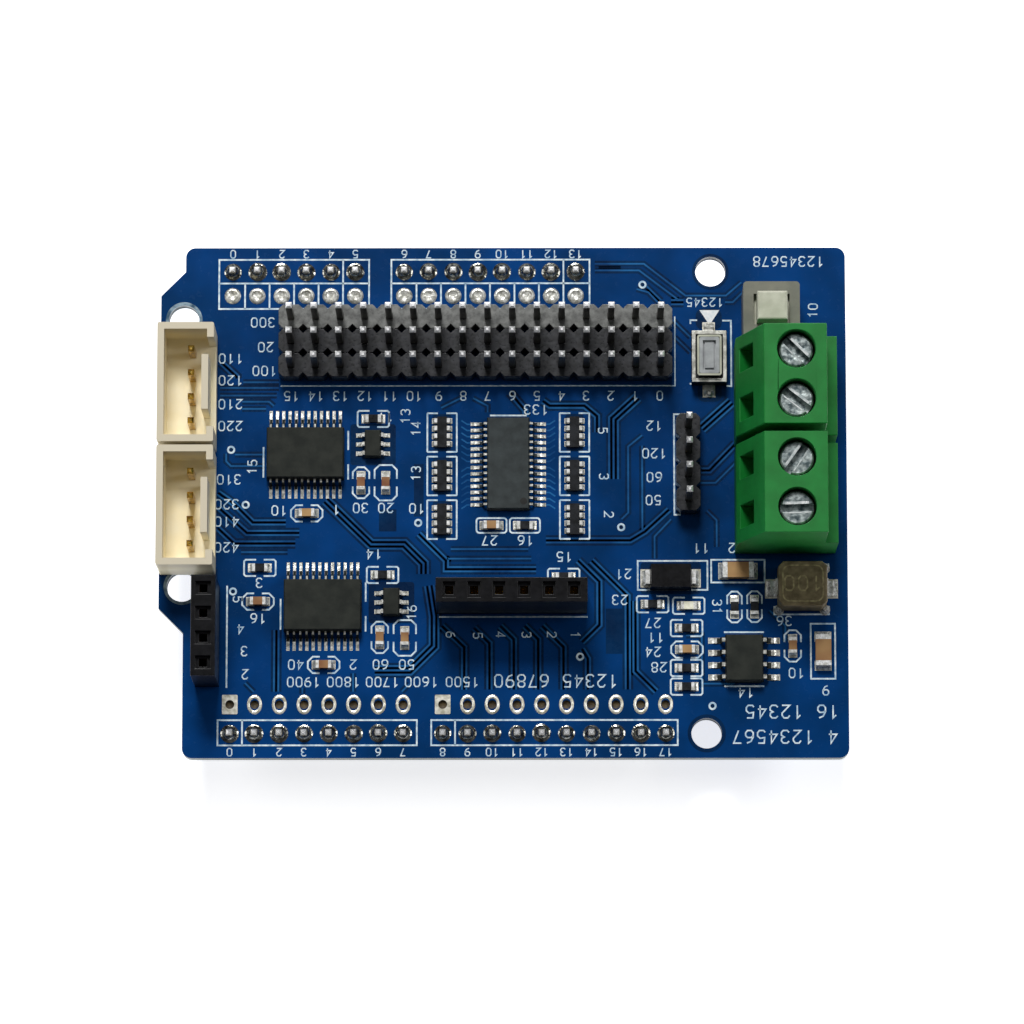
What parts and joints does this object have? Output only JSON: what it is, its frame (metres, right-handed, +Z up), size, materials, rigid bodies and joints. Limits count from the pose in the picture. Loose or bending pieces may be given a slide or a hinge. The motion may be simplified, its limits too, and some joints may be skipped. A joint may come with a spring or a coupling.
{
  "type": "servo driver board",
  "caption": "Stackable driver board with a three-row servo pin header, screw terminals, motor connectors, sockets and two push buttons on a blue circuit board.",
  "frame": {"origin": "centre of the board's outline, level with the tips of the downward header pins", "axes": "+Z up, square to the board's component side; +X along the board's length from the motor connectors to the screw terminals; +Y across the board towards the servo header"},
  "size_m": [0.071, 0.0534, 0.0241],
  "materials": {
    "board_laminate": "glass-fibre laminate under a glossy blue solder mask",
    "header_plastic": "moulded black nylon, satin",
    "socket_plastic": "moulded black polyester, satin",
    "pin_metal": "square drawn brass wire, tin plated",
    "contact_gold": "gold-flashed brass",
    "connector_nylon": "moulded natural nylon, ivory",
    "terminal_plastic": "moulded green polyamide, satin",
    "screw_steel": "zinc-plated steel",
    "plated_steel": "tin-plated steel",
    "spring_steel": "spring steel",
    "switch_plastic": "moulded black plastic",
    "switch_case_plastic": "moulded warm grey plastic",
    "button_plastic": "moulded light grey plastic",
    "reset_button_plastic": "moulded grey plastic",
    "chip_epoxy": "transfer-moulded black epoxy",
    "tinned_lead": "tin plated, satin",
    "ferrite": "pressed ferrite, dark grey-brown",
    "ceramic": "fired ceramic, tan",
    "led_lens": "clear resin over a pale base"
  },
  "bodies": {
    "root": {"capacitors": "ceramic", "chip_end_caps": "tinned_lead", "circuit_board": "board_laminate", "diode": "chip_epoxy", "diode_tabs": "tinned_lead", "indicator_led": "led_lens", "inductor_clips": "tinned_lead", "inductor_core": "ferrite", "lower_shield_header_pins": "pin_metal", "lower_shield_header_strips": "header_plastic", "motor_connector_1": "connector_nylon", "motor_connector_2": "connector_nylon", "motor_connector_pins_1": "contact_gold", "motor_connector_pins_2": "contact_gold", "motor_driver_1": "chip_epoxy", "motor_driver_2": "chip_epoxy", "motor_driver_leads_1": "tinned_lead", "motor_driver_leads_2": "tinned_lead", "power_switch_body": "switch_case_plastic", "power_switch_legs": "plated_steel", "power_switch_spring": "spring_steel", "pwm_chip": "chip_epoxy", "pwm_chip_leads": "tinned_lead", "receiver_socket": "socket_plastic", "receiver_socket_contacts": "contact_gold", "regulator": "chip_epoxy", "regulator_leads": "tinned_lead", "reset_switch_base": "switch_plastic", "reset_switch_dome": "spring_steel", "reset_switch_frame": "plated_steel", "reset_switch_tabs": "plated_steel", "resistor_arrays": "chip_epoxy", "resistors": "chip_epoxy", "serial_socket": "socket_plastic", "serial_socket_contacts": "contact_gold", "servo_ground_pins": "pin_metal", "servo_ground_strip": "header_plastic", "servo_signal_pins": "pin_metal", "servo_signal_strip": "header_plastic", "servo_supply_pins": "pin_metal", "servo_supply_strip": "header_plastic", "small_chip_leads": "tinned_lead", "small_chips": "chip_epoxy", "terminal_block_1": "terminal_plastic", "terminal_block_2": "terminal_plastic", "terminal_contacts": "plated_steel", "upper_shield_header_pins": "pin_metal", "upper_shield_header_strips": "header_plastic", "voltage_header_pins": "pin_metal", "voltage_header_strip": "header_plastic"},
    "power_button": {"power_switch_button": "button_plastic"},
    "reset_button": {"reset_switch_button": "reset_button_plastic"},
    "screw_1": {"terminal_screw_1": "screw_steel"},
    "cage_1": {"wire_cage_1": "plated_steel"},
    "screw_2": {"terminal_screw_2": "screw_steel"},
    "cage_2": {"wire_cage_2": "plated_steel"},
    "screw_3": {"terminal_screw_3": "screw_steel"},
    "cage_3": {"wire_cage_3": "plated_steel"},
    "screw_4": {"terminal_screw_4": "screw_steel"},
    "cage_4": {"wire_cage_4": "plated_steel"}
  },
  "joints": [
    {"name": "power_button_slide", "type": "slide", "parent": "root", "child": "power_button", "axis": [0, 0, -1], "range_m": [0, 0.0015], "stiffness_N_per_m": 1300, "deforming": ["power_switch_spring"]},
    {"name": "reset_button_slide", "type": "slide", "parent": "root", "child": "reset_button", "axis": [0, 0, -1], "range_m": [0, 0.00025], "stiffness_N_per_m": 6400, "deforming": ["reset_switch_dome"]},
    {"name": "screw_turn_1", "type": "hinge", "parent": "root", "child": "screw_1", "pos_m": [0.02975, 0.01332, 0.02214], "axis": [0, 0, -1], "range_deg": [0, 1440]},
    {"name": "cage_lift_1", "type": "slide", "parent": "root", "child": "cage_1", "axis": [0, 0, 1], "range_m": [0, 0.002]},
    {"name": "screw_turn_2", "type": "hinge", "parent": "root", "child": "screw_2", "pos_m": [0.02975, 0.00824, 0.02214], "axis": [0, 0, -1], "range_deg": [0, 1440]},
    {"name": "cage_lift_2", "type": "slide", "parent": "root", "child": "cage_2", "axis": [0, 0, 1], "range_m": [0, 0.002]},
    {"name": "screw_turn_3", "type": "hinge", "parent": "root", "child": "screw_3", "pos_m": [0.02975, 0.00222, 0.02214], "axis": [0, 0, -1], "range_deg": [0, 1440]},
    {"name": "cage_lift_3", "type": "slide", "parent": "root", "child": "cage_3", "axis": [0, 0, 1], "range_m": [0, 0.002]},
    {"name": "screw_turn_4", "type": "hinge", "parent": "root", "child": "screw_4", "pos_m": [0.02975, -0.00286, 0.02214], "axis": [0, 0, -1], "range_deg": [0, 1440]},
    {"name": "cage_lift_4", "type": "slide", "parent": "root", "child": "cage_4", "axis": [0, 0, 1], "range_m": [0, 0.002]}
  ],
  "couplings": [
    {"joint": "screw_turn_1", "follows": "cage_lift_1", "rad_per_m": 12566},
    {"joint": "screw_turn_2", "follows": "cage_lift_2", "rad_per_m": 12566},
    {"joint": "screw_turn_3", "follows": "cage_lift_3", "rad_per_m": 12566},
    {"joint": "screw_turn_4", "follows": "cage_lift_4", "rad_per_m": 12566}
  ]
}
